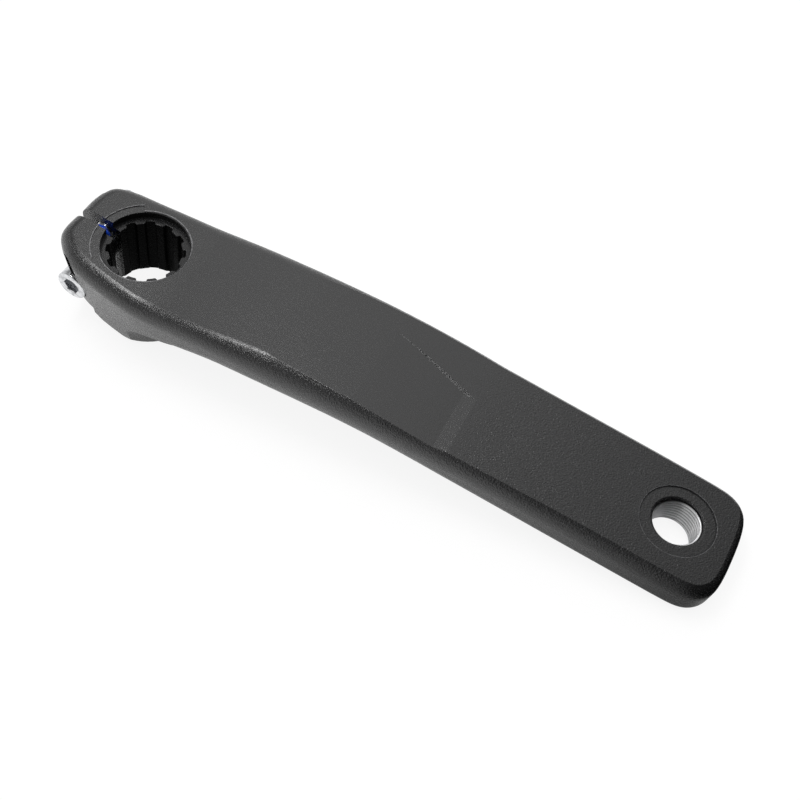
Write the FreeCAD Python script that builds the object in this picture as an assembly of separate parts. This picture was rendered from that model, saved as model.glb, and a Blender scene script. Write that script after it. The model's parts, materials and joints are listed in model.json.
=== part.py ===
"""Left crank arm with a split, splined clamp head and two opposed pinch bolts.

Frame: millimetres. Z is the bore axis and leaves the outer face, which lies at
z = 0 on the clamp head. X runs from the bore to the pedal hole. The two pinch
bolts cross the slot along Y; -Y is the near side, +Y the far side.
"""
import FreeCAD, Part
import math
import os

V = FreeCAD.Vector
UP = V(0, 0, 1)

# Length of the arm
ARM_LENGTH = 175.0          # bore axis to pedal hole axis, a standard length

# Plan outline of the forging at the height of the head's outer face. The
# clamp half is measured from the bore axis, the pedal half from the pedal hole.
HEAD_END = [(-25.5, 0.0)]
HEAD_NEAR = [(-25.6, -5.0), (-24.7, -9.6), (-21.9, -13.2), (-18.4, -16.2),
             (-13.3, -18.4), (-7.1, -19.8), (0.0, -20.9), (7.0, -21.6),
             (14.0, -21.6), (24.0, -21.2), (36.0, -20.9), (50.0, -20.5)]
TIP_NEAR = [(-83.0, -19.6), (-55.0, -18.9), (-27.0, -18.2), (-3.0, -18.0),
            (6.0, -17.9)]
TIP_END = [(12.0, -16.9), (15.8, -13.5), (17.2, -8.3), (17.4, -2.5),
           (17.3, 3.5), (16.8, 9.1), (15.4, 13.5), (11.4, 16.8)]
TIP_FAR = [(5.0, 17.9), (-3.0, 18.2), (-27.0, 18.65), (-55.0, 19.1),
           (-83.0, 19.75)]
HEAD_FAR = [(50.0, 20.6), (36.0, 20.8), (24.0, 20.9), (14.0, 20.7), (7.0, 20.2),
            (0.0, 19.5), (-7.5, 18.7), (-13.5, 18.15), (-19.2, 17.2),
            (-23.3, 14.8), (-25.3, 10.1), (-25.7, 5.0)]
# Draft of the side walls in degrees by station: the head leans in more
DRAFT_NEAR = [(-25.0, 4.0), (-22.0, 6.5), (-18.0, 9.0), (8.0, 9.5), (34.0, 3.0)]
DRAFT_FAR = [(-25.0, 4.0), (-22.0, 4.5), (-18.0, 5.0), (8.0, 5.0), (34.0, 3.0)]

# Outer face in side view: flat over the head, swept out, then level to the
# pedal end
FACE_FLAT_X = 8.0
FACE_SWEEP = [(15.0, 0.30), (20.0, 0.95), (26.0, 1.90), (34.0, 3.15),
              (46.0, 4.80), (58.0, 6.15)]
FACE_TIP = [(-81.0, 8.28), (-67.0, 8.46)]
FACE_RUN = -45.0            # level from here on, from the pedal axis
FACE_Z = 8.55               # height of the level part
ARM_THICKNESS = 12.15       # under the level part
UNDER_RUN = -57.0
UNDER_TIP = [(-69.0, 0.1), (-83.0, 0.45)]    # below the level part's under side
UNDER_HEAD = [(50.0, 8.0), (36.0, 9.9), (24.0, 11.6), (12.0, 13.0), (-5.0, 14.0),
              (-40.0, 14.4)]                 # below the head's outer face

# Rounded edges of the forging, station and radius
OUTER_EDGE_HEAD = [(50.0, 4.3)]
OUTER_EDGE_TIP = [(-55.0, 5.8)]
UNDER_EDGE_HEAD = [(14.0, 2.2), (36.0, 6.4)]
UNDER_EDGE_TIP = [(-83.0, 6.5), (-27.0, 2.9), (-3.0, 2.6)]
TIP_SINK = 36.0             # degrees of the outer edge lost where the face is sunk

# Clamp head
HEAD_LENGTH = 26.0          # outer face to inner face
HUB_END_R = 18.0
HUB_END_CHAMFER = 1.2
# Section of the hub away from its end: radius and height above the inner face,
# ending in the blend with the under face
HUB_FLARE = [(18.3, 4.0), (20.6, 9.6), (26.8, 13.9), (32.5, 17.5)]
HUB_TOP = 19.0
HUB_INSIDE = 0.15           # its walls lie so far inside the forging's own
EAR_DEPTH = 21.8
EAR_START_X = -6.0
EAR_TOP = -8.0
EAR_CHAMFER = 2.4
COUNTERBORE_R = 13.45
COUNTERBORE_DEPTH = 2.5
COUNTERBORE_EDGE = 0.4
SPINDLE_R = 12.0            # 24 mm spindle
SPLINE_GAP = 0.05
TOOTH_COUNT = 12
TOOTH_HEIGHT = 1.1
TOOTH_TIP = 2.5             # widths of a tooth at its tip and its foot
TOOTH_FOOT = 3.7
TOOTH_EDGE = 0.45
TOOTH_START = 15.0          # degrees, so that the slot takes a gap between teeth
BORE_CHAMFER = 0.8
SLOT_WIDTH = 3.4
RING_WIDTH = 2.75           # shallow turned ring outside the counterbore
RING_DEPTH = 0.30
RING_SPAN = 52.0            # degrees each way from the slot

# Pinch bolts, M6 socket head
BOLT_X = -17.0
BOLT_DEPTH = 6.2            # outer bolt's axis below the outer face
BOLT_PITCH = 9.4
BOLT_R = 3.0
BOLT_LENGTH = 20.0
BOLT_TIP = 0.6
BOLT_HEAD_R = 5.0
BOLT_HEAD_H = 6.0
BOLT_HEAD_EDGE = 0.5
SOCKET_ACROSS = 5.0
SOCKET_DEPTH = 3.2
SEAT_Y = 10.3               # seats under the heads, either side of the slot
SEAT_GAP = 0.35
CLEAR_GAP = 0.30
THREAD_GAP = 0.05
RELIEF_R = 3.6

# Pedal hole, 9/16 in thread
PEDAL_R = 7.144
PEDAL_CHAMFER = 0.45
SPOT_R = 10.75
SPOT_SINK = 0.40            # spot face below the outer face at the pedal axis

# Facet on the outer face: the clamp side lies lower behind a diagonal ridge
# and a soft ramp
STEP_DEPTH = 0.50
STEP_START = 76.0           # from the bore axis
RIDGE_START = (78.0, 11.9)
RIDGE_END = (111.6, 2.7)
RAMP_END = (113.2, -24.0)
RIDGE_WIDTH = 1.1
RAMP_WIDTH = 4.5

REACH = 60.0                # cutting tools run on this far past the part


def at_tip(points):
    """Stations given from the pedal axis, moved to the bore axis."""
    return [(ARM_LENGTH + p[0],) + tuple(p[1:]) for p in points]


SPOT_Z = FACE_Z - SPOT_SINK
UNDER_Z = FACE_Z - ARM_THICKNESS
OUTER_EDGE = OUTER_EDGE_HEAD + at_tip(OUTER_EDGE_TIP)
UNDER_EDGE = UNDER_EDGE_HEAD + at_tip(UNDER_EDGE_TIP)
SINK_X0, SINK_X1 = OUTER_EDGE[0][0], OUTER_EDGE[-1][0]
FACE_RUN_X, UNDER_RUN_X = ARM_LENGTH + FACE_RUN, ARM_LENGTH + UNDER_RUN
FACE_STATIONS = FACE_SWEEP + at_tip(FACE_TIP) + [(FACE_RUN_X, FACE_Z)]
UNDER_STATIONS = [(x, -depth) for x, depth in reversed(UNDER_HEAD)]
UNDER_STATIONS += [(x, UNDER_Z - depth) for x, depth in reversed(at_tip(UNDER_TIP))]
UNDER_STATIONS.append((UNDER_RUN_X, UNDER_Z))
BACK_X = UNDER_STATIONS[0][0] - 20.0
TIP_X = ARM_LENGTH + 30.0   # clear of the pedal end
BORE_ROOT_R = SPINDLE_R + SPLINE_GAP
BORE_TIP_R = BORE_ROOT_R - TOOTH_HEIGHT


def spline(points, closed=False, start=None, end=None):
    curve = Part.BSplineCurve()
    vecs = [V(*p) for p in points]
    if start is not None:
        curve.interpolate(Points=vecs, InitialTangent=start, FinalTangent=end)
    else:
        curve.interpolate(Points=vecs, PeriodicFlag=closed)
    return curve


def side_line(*points):
    """Edge between two points (x, z) of the side view."""
    return Part.LineSegment(*[V(x, 0, z) for x, z in points]).toShape()


def ramp(x, lo, hi):
    return min(1.0, max(0.0, (x - lo) / (hi - lo)))


def face_curve(offset):
    """Swept part of the outer face in side view, moved up or down by offset(x)."""
    pts = [(FACE_FLAT_X, 0, 0)]
    pts += [(x, 0, z + offset(x)) for x, z in FACE_STATIONS]
    return spline(pts, start=V(1, 0, 0), end=V(1, 0, 0))


def at_station(curve, x):
    """Parameter at which a side-view curve passes one station."""
    lo, hi = curve.FirstParameter, curve.LastParameter
    for _ in range(60):
        mid = 0.5 * (lo + hi)
        if curve.value(mid).x < x:
            lo = mid
        else:
            hi = mid
    return 0.5 * (lo + hi)


def face_height(x):
    """Height of the outer face at one station."""
    if x <= FACE_FLAT_X:
        return 0.0
    if x >= FACE_RUN_X:
        return FACE_Z
    curve = face_curve(lambda station: 0.0)
    return curve.value(at_station(curve, x)).z


def across(edges, half=45.0):
    """Side-view outline carried across the whole width."""
    face = Part.Face(Part.Wire(Part.__sortEdges__(edges)))
    face.translate(V(0, -half, 0))
    return face.extrude(V(0, 2 * half, 0))


def side_slab(offset):
    """Everything between the under side and the outer face moved by offset(x)."""
    face_end = FACE_Z + offset(FACE_RUN_X)
    first, second = UNDER_STATIONS[:2]
    low = spline([(x, 0, z) for x, z in UNDER_STATIONS], end=V(1, 0, 0),
                 start=V(second[0] - first[0], 0, second[1] - first[1]).normalize())
    return across([side_line((BACK_X, 0), (FACE_FLAT_X, 0)),
                   face_curve(offset).toShape(),
                   side_line((FACE_RUN_X, face_end), (TIP_X, face_end)),
                   side_line((TIP_X, face_end), (TIP_X, UNDER_Z)),
                   side_line((TIP_X, UNDER_Z), (UNDER_RUN_X, UNDER_Z)),
                   low.toShape(),
                   side_line(first, (BACK_X, 0))])


def above_face(offset, x_from):
    """Everything above the outer face moved by offset(x), from one station on."""
    curve = face_curve(offset)
    cut = at_station(curve, x_from)
    start = (curve.value(cut).x, curve.value(cut).z)
    run = (FACE_RUN_X, FACE_Z + offset(FACE_RUN_X))
    lid = FACE_Z + 30.0
    return across([curve.toShape(cut, curve.LastParameter),
                   side_line(run, (TIP_X, run[1])),
                   side_line((TIP_X, run[1]), (TIP_X, lid)),
                   side_line((TIP_X, lid), (start[0], lid)),
                   side_line((start[0], lid), start)])


def wall_lean(x, y):
    """Inset of the side wall per millimetre of depth at one point."""
    return math.tan(math.radians(along(DRAFT_NEAR if y < 0 else DRAFT_FAR, x)))


def outline(z, inside=0.0):
    """Plan outline at one height, moved inwards."""
    pts = (HEAD_END + HEAD_NEAR + at_tip(TIP_NEAR) + at_tip(TIP_END)
           + at_tip(TIP_FAR) + HEAD_FAR)
    out = []
    for i, (x, y) in enumerate(pts):
        xa, ya = pts[i - 1]
        xb, yb = pts[(i + 1) % len(pts)]
        tx, ty = xb - xa, yb - ya
        size = math.hypot(tx, ty)
        inset = inside - z * wall_lean(x, y)
        out.append((x - ty / size * inset, y + tx / size * inset, z))
    return out


def outline_pieces(z, inside):
    """Closed outline in pieces, cut at the stations where the edge rounding changes."""
    points = outline(z, inside)
    curve = spline(points, closed=True)
    stations = [station for station, _ in OUTER_EDGE + UNDER_EDGE]
    marks = [curve.FirstParameter]
    for (x, _, _), point in zip(outline(0.0), points):
        if any(abs(x - station) < 1e-6 for station in stations):
            marks.append(curve.parameter(V(*point)))
    marks.append(curve.LastParameter)
    return [curve.toShape(a, b) for a, b in zip(marks, marks[1:])]


def forging_block(inside=0.0):
    """Drafted prism over the plan outline, from below the head to above the tip."""
    low, high = [outline_pieces(z, inside) for z in (-HEAD_LENGTH - 6.0, FACE_Z + 6.0)]
    faces = [Part.makeRuledSurface(a, b) for a, b in zip(low, high)]
    faces += [Part.Face(Part.Wire(low)), Part.Face(Part.Wire(high))]
    shell = Part.makeShell(faces)
    shell.sewShape()
    return Part.makeSolid(shell)


def along(table, x):
    """Value at one station of a table of stations and values."""
    last = table[0]
    value = last[1]
    for station, nxt in table[1:]:
        value += (nxt - last[1]) * ramp(x, last[0], station)
        last = (station, nxt)
    return value


def tip_raise(x):
    """Height the pedal half carries before its face is sunk."""
    full = OUTER_EDGE[-1][1] * (1.0 - math.cos(math.radians(TIP_SINK)))
    return full * ramp(x, SINK_X0, SINK_X1)


def rounded(body):
    """Outer and under edges of the forging, with their changing radii."""
    doc = FreeCAD.newDocument("forging")
    base = doc.addObject("Part::Feature", "body")
    base.Shape = body
    fillet = doc.addObject("Part::Fillet", "edges")
    fillet.Base = base
    picked = []
    for i, edge in enumerate(body.Edges):
        a = edge.valueAt(edge.FirstParameter)
        b = edge.valueAt(edge.LastParameter)
        if abs(a.z - b.z) > 6.0 or edge.BoundBox.XLength < 0.1:
            continue            # seams of the wall and lines across the faces
        table = OUTER_EDGE if a.z > -0.5 and b.z > -0.5 else UNDER_EDGE
        picked.append((i + 1, along(table, a.x), along(table, b.x)))
    fillet.Edges = picked
    doc.recompute()
    shape = fillet.Shape.copy()
    FreeCAD.closeDocument(doc.Name)
    return shape


def hub_and_ears():
    """Everything the head has below the arm's under face."""
    z0 = -HEAD_LENGTH
    flare = spline([(r, 0, z0 + h) for r, h in HUB_FLARE])
    foot, crest = flare.value(flare.FirstParameter), flare.value(flare.LastParameter)
    corners = [crest, V(crest.x, 0, z0 + HUB_TOP), V(0, 0, z0 + HUB_TOP), V(0, 0, z0),
               V(HUB_END_R - HUB_END_CHAMFER, 0, z0), V(HUB_END_R, 0, z0 + HUB_END_CHAMFER),
               foot]
    edges = [flare.toShape()]
    edges += [Part.LineSegment(a, b).toShape() for a, b in zip(corners, corners[1:])]
    section = Part.Face(Part.Wire(Part.__sortEdges__(edges)))
    hub = section.revolve(V(0, 0, 0), UP, 360.0)
    height = EAR_DEPTH + EAR_TOP
    end_x, end_y = HEAD_END[0]
    end_low = end_x + EAR_DEPTH * wall_lean(end_x, end_y) + EAR_CHAMFER
    side = [V(EAR_START_X, 0, EAR_TOP), V(EAR_START_X, 0, -EAR_DEPTH),
            V(end_low, 0, -EAR_DEPTH), V(end_low - height, 0, EAR_TOP)]
    ears = across([Part.LineSegment(a, b).toShape() for a, b in zip(side, side[1:] + side[:1])])
    return forging_block(HUB_INSIDE).common(hub.fuse(ears))


def half_space(point, along, down):
    """Large block standing on the plane that holds the two directions."""
    normal = along.cross(down)
    if normal.z < 0:
        normal = normal.negative()
    size = 120.0
    box = Part.makeBox(size, size, size, V(-size / 2, -size / 2, 0))
    box.Placement = FreeCAD.Placement(point, FreeCAD.Rotation(UP, normal))
    return box


def facet_tool():
    """Thin wedge taken off the clamp side of the outer face."""
    last = max(RIDGE_END[0], RAMP_END[0])

    def drop(x):
        if x < STEP_START:
            return 0.02 * (STEP_START - x)
        return -STEP_DEPTH * ramp(x, STEP_START, last)

    tool = above_face(drop, STEP_START - 12.0)
    a = V(RIDGE_START[0], RIDGE_START[1], face_height(RIDGE_START[0]))
    b = V(RIDGE_END[0], RIDGE_END[1], face_height(RIDGE_END[0]))
    c = V(RAMP_END[0], RAMP_END[1], face_height(RAMP_END[0]))
    for p, q, width in ((a, b, RIDGE_WIDTH), (b, c, RAMP_WIDTH)):
        along = q.sub(p)
        side = V(along.y, -along.x, 0)
        side.normalize()
        down = side.multiply(width).add(V(0, 0, -STEP_DEPTH))
        tool = tool.common(half_space(q, along, down))
    return tool


def spline_bore():
    """Bore with teeth standing into it, their tips round about the axis."""
    depth = HEAD_LENGTH + 2.0
    bore = Part.makeCylinder(BORE_ROOT_R, depth, V(0, 0, -depth))
    past = TOOTH_HEIGHT / 2     # the flanks run on this far past tip and foot
    slope = (TOOTH_FOOT - TOOTH_TIP) / (2 * TOOTH_HEIGHT)
    r0, w0 = BORE_TIP_R - past, TOOTH_TIP / 2 - slope * past
    r1, w1 = BORE_ROOT_R + past, TOOTH_FOOT / 2 + slope * past
    sides = [V(r0, -w0, -depth), V(r1, -w1, -depth), V(r1, w1, -depth), V(r0, w0, -depth)]
    tooth = Part.Face(Part.makePolygon(sides + sides[:1])).extrude(V(0, 0, depth))
    for i in range(TOOTH_COUNT):
        turned = tooth.copy()
        turned.rotate(V(0, 0, 0), UP, TOOTH_START + 360.0 / TOOTH_COUNT * i)
        bore = bore.cut(turned)
    bore = bore.fuse(Part.makeCylinder(BORE_TIP_R, depth, V(0, 0, -depth))).removeSplitter()
    tips = [e for e in bore.Edges if e.BoundBox.ZLength > depth - 1.0
            and abs(math.hypot(e.Vertexes[0].X, e.Vertexes[0].Y) - BORE_TIP_R) < 1e-4]
    return bore.makeFillet(TOOTH_EDGE, tips)


def bolt_axis(i):
    """Axis of bolt 0 (outer) or 1 (inner), and the side its head is on."""
    return V(BOLT_X, 0, -BOLT_DEPTH - BOLT_PITCH * i), (1 if i == 0 else -1)


def pinch_bolt(i):
    """Socket head bolt, turned about Z and laid along its axis."""
    axis, side = bolt_axis(i)
    half = [(0, 0), (BOLT_HEAD_R, 0), (BOLT_HEAD_R, BOLT_HEAD_H - BOLT_HEAD_EDGE),
            (BOLT_HEAD_R - BOLT_HEAD_EDGE, BOLT_HEAD_H), (0, BOLT_HEAD_H)]
    shank = [(0, -BOLT_LENGTH), (BOLT_R - BOLT_TIP, -BOLT_LENGTH),
             (BOLT_R, -BOLT_LENGTH + BOLT_TIP), (BOLT_R, 0)]
    profile = [V(r, 0, z) for r, z in shank + half[1:] + shank[:1]]
    bolt = Part.Face(Part.makePolygon(profile)).revolve(V(0, 0, 0), UP, 360.0)
    corner = SOCKET_ACROSS / math.sqrt(3.0)
    hexagon = [V(corner * math.cos(math.radians(60 * k)), corner * math.sin(math.radians(60 * k)),
                 BOLT_HEAD_H) for k in range(7)]
    bolt = bolt.cut(Part.Face(Part.makePolygon(hexagon)).extrude(V(0, 0, -SOCKET_DEPTH)))
    bolt.rotate(V(0, 0, 0), V(1, 0, 0), -90.0 * side)
    bolt.translate(V(axis.x, side * SEAT_Y, axis.z))
    return bolt


def bolt_cuts():
    """Seat, clearance hole, threaded hole and its mouth for both bolts."""
    cuts = []
    for i in (0, 1):
        axis, side = bolt_axis(i)
        out = V(0, side, 0)
        back = out.negative()
        seat = V(axis.x, side * SEAT_Y, axis.z)
        pocket_r = BOLT_HEAD_R + SEAT_GAP
        cuts.append(Part.makeCylinder(pocket_r, REACH, seat, out))
        # the seat is milled through to the slotted end
        y0 = seat.y if side > 0 else seat.y - REACH
        cuts.append(Part.makeBox(REACH, REACH, 2 * pocket_r,
                                 V(axis.x - REACH, y0, axis.z - pocket_r)))
        cuts.append(Part.makeCylinder(BOLT_R + CLEAR_GAP, SEAT_Y, V(axis.x, 0, axis.z), out))
        cuts.append(Part.makeCylinder(BOLT_R + THREAD_GAP, REACH, V(axis.x, 0, axis.z), back))
        cuts.append(Part.makeCylinder(RELIEF_R, REACH, V(axis.x, -side * SEAT_Y, axis.z), back))
    return cuts


def turned_ring():
    outer = COUNTERBORE_R + RING_WIDTH
    ring = Part.makeCylinder(outer, 10.0, V(0, 0, -RING_DEPTH))
    wedge = Part.makeCylinder(outer + 5.0, 12.0, V(0, 0, -RING_DEPTH - 1.0), UP, 2 * RING_SPAN)
    wedge.rotate(V(0, 0, 0), UP, 180.0 - RING_SPAN)
    return ring.common(wedge)


def crank_arm():
    body = rounded(forging_block().common(side_slab(tip_raise)))
    body = body.fuse(hub_and_ears()).removeSplitter()

    def sink(x):
        return 0.012 * max(0.0, SINK_X0 + 8.0 - x)

    body = body.cut(above_face(sink, SINK_X0 - 12.0))
    body = body.cut(facet_tool())

    mouth = 2 * COUNTERBORE_EDGE
    lead = 2 * PEDAL_CHAMFER
    tools = [Part.makeCylinder(COUNTERBORE_R, REACH, V(0, 0, -COUNTERBORE_DEPTH)),
             Part.makeCone(COUNTERBORE_R, COUNTERBORE_R + mouth, mouth,
                           V(0, 0, -COUNTERBORE_EDGE)),
             spline_bore(),
             Part.makeCone(BORE_ROOT_R + BORE_CHAMFER, BORE_TIP_R,
                           BORE_CHAMFER + TOOTH_HEIGHT, V(0, 0, -HEAD_LENGTH)),
             turned_ring(),
             Part.makeBox(REACH, SLOT_WIDTH, REACH, V(-REACH, -SLOT_WIDTH / 2, -REACH / 2)),
             Part.makeCylinder(PEDAL_R, REACH, V(ARM_LENGTH, 0, UNDER_Z - REACH / 2)),
             Part.makeCylinder(SPOT_R, REACH, V(ARM_LENGTH, 0, SPOT_Z)),
             Part.makeCone(PEDAL_R, PEDAL_R + lead, lead,
                           V(ARM_LENGTH, 0, SPOT_Z - PEDAL_CHAMFER)),
             Part.makeCone(PEDAL_R + lead, PEDAL_R, lead,
                           V(ARM_LENGTH, 0, UNDER_Z - PEDAL_CHAMFER))]
    tools += bolt_cuts()
    for tool in tools:
        body = body.cut(tool)
    return body.removeSplitter()


def main():
    os.makedirs("parts", exist_ok=True)
    nodes = {"crank_arm": crank_arm(),
             "pinch_bolt_outer": pinch_bolt(0),
             "pinch_bolt_inner": pinch_bolt(1)}
    for name, shape in nodes.items():
        if len(shape.Solids) == 1:
            shape = shape.Solids[0]
        print(name, shape.isValid(), len(shape.Solids), len(shape.Faces),
              round(shape.Volume, 1), shape.BoundBox)
        shape.exportStep("parts/%s.step" % name)


main()
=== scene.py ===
"""Left crank arm with a split clamp head: finishes, fine threads and a plain studio.

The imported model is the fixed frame, in metres: Z is the bore axis and leaves the
outer face, X runs from the bore to the pedal hole. The forging keeps its own node
and gets its finish here. The two pinch bolts and the cut thread of the pedal hole
are built here, because their threads are too fine for the solids.
"""

import json
import logging
import math
from dataclasses import dataclass
from enum import Enum
from typing import Any, ClassVar, Mapping, Optional, Sequence, Union

import bmesh
import bpy
from mathutils import Matrix, Vector

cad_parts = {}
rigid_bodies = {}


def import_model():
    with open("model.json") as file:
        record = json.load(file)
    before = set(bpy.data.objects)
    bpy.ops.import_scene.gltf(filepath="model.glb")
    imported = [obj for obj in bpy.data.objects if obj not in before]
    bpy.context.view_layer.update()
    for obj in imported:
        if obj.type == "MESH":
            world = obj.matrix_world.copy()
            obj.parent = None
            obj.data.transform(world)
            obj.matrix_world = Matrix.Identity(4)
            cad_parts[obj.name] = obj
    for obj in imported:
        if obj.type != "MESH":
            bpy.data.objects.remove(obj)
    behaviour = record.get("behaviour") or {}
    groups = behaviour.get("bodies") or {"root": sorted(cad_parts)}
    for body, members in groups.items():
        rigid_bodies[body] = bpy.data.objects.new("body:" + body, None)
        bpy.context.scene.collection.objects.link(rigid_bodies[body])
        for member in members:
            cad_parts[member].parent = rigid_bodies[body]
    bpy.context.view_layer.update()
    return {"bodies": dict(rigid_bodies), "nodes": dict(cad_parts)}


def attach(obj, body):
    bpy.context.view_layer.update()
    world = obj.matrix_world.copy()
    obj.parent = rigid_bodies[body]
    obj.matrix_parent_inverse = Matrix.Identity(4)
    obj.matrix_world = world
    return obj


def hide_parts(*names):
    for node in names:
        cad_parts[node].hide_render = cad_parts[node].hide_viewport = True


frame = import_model()

log = logging.getLogger("crank_arm")
MM = 0.001
BODY = "root"
THREAD_SHARE = "thread"     # point attribute of a turned mesh

Socket = bpy.types.NodeSocket
Value = Union[bpy.types.Node, Socket, float, Sequence[float]]
Inputs = Union[Mapping[str, Value], Sequence[Value]]


# Small tools

def linear(code: str) -> tuple[float, float, float, float]:
    """Turns an sRGB hex colour into linear RGBA.

    Args:
        code: six hex digits, with or without a leading hash.

    Returns:
        The linear colour with alpha 1.
    """
    digits = code.lstrip("#")
    channels = [int(digits[i:i + 2], 16) / 255 for i in (0, 2, 4)]
    shades = [c / 12.92 if c <= 0.04045 else ((c + 0.055) / 1.055) ** 2.4
              for c in channels]
    return (shades[0], shades[1], shades[2], 1.0)


def add_node(tree: bpy.types.NodeTree, kind: str, inputs: Inputs = (),
             **settings: Any) -> bpy.types.Node:
    """Adds a node with its settings, and sets or links its inputs.

    Args:
        tree: the node tree that gets the node.
        kind: Blender's type name of the node.
        inputs: values by the input's name, or in the order of the inputs in use. A
            socket is linked, and so is a node, by its first output in use.
        settings: properties of the node.

    Returns:
        The new node.
    """
    node = tree.nodes.new(kind)
    for name, value in settings.items():
        setattr(node, name, value)
    if isinstance(inputs, dict):
        pairs = [(node.inputs[name], value) for name, value in inputs.items()]
    else:
        pairs = list(zip([socket for socket in node.inputs if socket.enabled], inputs))
    for socket, value in pairs:
        if isinstance(value, bpy.types.Node):
            value = next(output for output in value.outputs if output.enabled)
        if isinstance(value, Socket):
            tree.links.new(value, socket)
        else:
            socket.default_value = value
    return node


def new_material(name: str) -> tuple[bpy.types.Material, bpy.types.NodeTree, bpy.types.Node]:
    """Makes an empty node material.

    Args:
        name: the finish, in a maker's words.

    Returns:
        The material, its tree and its output node.
    """
    material = bpy.data.materials.new(name)
    material.use_nodes = True
    tree = material.node_tree
    tree.nodes.clear()
    return material, tree, tree.nodes.new("ShaderNodeOutputMaterial")


def millimetres(tree: bpy.types.NodeTree) -> bpy.types.Node:
    """Object coordinates in millimetres, so that pattern sizes are real sizes."""
    place = add_node(tree, "ShaderNodeTexCoord").outputs["Object"]
    return add_node(tree, "ShaderNodeVectorMath", (place, 1 / MM), operation="SCALE")


def distance(tree: bpy.types.NodeTree, first: Value, second: Value) -> bpy.types.Node:
    """Length of a vector of two parts.

    Args:
        tree: the node tree.
        first: one part.
        second: the other part, square to it.

    Returns:
        The length's node.
    """
    squares = [add_node(tree, "ShaderNodeMath", (part, part), operation="MULTIPLY")
               for part in (first, second)]
    total = add_node(tree, "ShaderNodeMath", squares, operation="ADD")
    return add_node(tree, "ShaderNodeMath", (total,), operation="SQRT")


@dataclass(frozen=True)
class Step:
    """Smooth step of a value between two limits, carried to another range.

    Attributes:
        low: where the step starts.
        high: where it ends.
        to_low: the result up to low.
        to_high: the result from high on.
    """

    low: float
    high: float
    to_low: float = 0.0
    to_high: float = 1.0
    SMOOTH: ClassVar[dict[str, str]] = {"interpolation_type": "SMOOTHSTEP"}

    def of(self, value: Value) -> Inputs:
        """Inputs of a Map Range node that steps this value."""
        return (value, self.low, self.high, self.to_low, self.to_high)


@dataclass(frozen=True)
class Grain:
    """A noise pattern.

    Attributes:
        size_mm: distance between its blotches.
        detail: how many finer layers it has.
        roughness: how strong the finer layers are.
    """

    size_mm: float
    detail: float = 2.0
    roughness: float = 0.5

    def at(self, place: Value) -> Inputs:
        """Inputs of a Noise Texture node with this pattern."""
        return {"Vector": place, "Scale": 1 / self.size_mm, "Detail": self.detail,
                "Roughness": self.roughness}


# Finishes

@dataclass(frozen=True)
class EdgeLine:
    """A round edge whose coating is thin, so that metal shows along it, in millimetres.

    Attributes:
        centre_x: the axis of the round, from the bore axis.
        radius: radius of the edge.
        height: its height above the head's outer face.
        width: how far the thin coating reaches.
        wear: how bare the edge is, from 0 to 1.
        until_x: the line ends here, from the bore axis.
    """

    centre_x: float
    radius: float
    height: float
    width: float
    wear: float
    until_x: float = 400.0      # past the arm's end


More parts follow.
